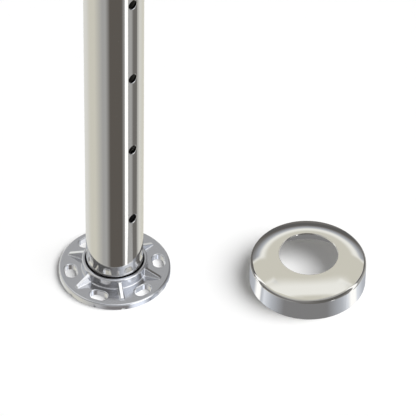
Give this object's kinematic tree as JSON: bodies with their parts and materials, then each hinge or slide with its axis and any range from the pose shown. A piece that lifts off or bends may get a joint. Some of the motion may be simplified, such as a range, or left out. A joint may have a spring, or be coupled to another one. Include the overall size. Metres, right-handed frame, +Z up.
{
  "type": "railing intermediate post",
  "caption": "Round tube railing post, drilled through for horizontal cables, on a ribbed and slotted cast foot, with its domed cover taken off beside it.",
  "frame": {"origin": "on the post's axis, in the plane of the foot's underside, at the middle of the ring of anchor slots", "axes": "+Z up along the tube; +X along the cable holes, towards a slot; +Y by the right-hand rule"},
  "size_m": [0.1804, 0.1888, 0.95],
  "materials": {
    "polished_tube": "mirror-polished stainless steel tube",
    "cast_foot": "satin investment-cast stainless steel",
    "polished_cover": "pressed stainless steel sheet, polished",
    "black_seal": "matt black rubber",
    "turned_steel": "turned stainless steel",
    "screw_steel": "cold-headed stainless steel screw and washer"
  },
  "bodies": {
    "root": {"post_tube": "polished_tube", "base_foot": "cast_foot", "collar_seal": "black_seal", "expander_sleeve": "turned_steel", "cone_nut": "turned_steel", "clamp_screw": "screw_steel", "lock_washer": "screw_steel", "cover_rosette": "polished_cover"}
  },
  "joints": []
}
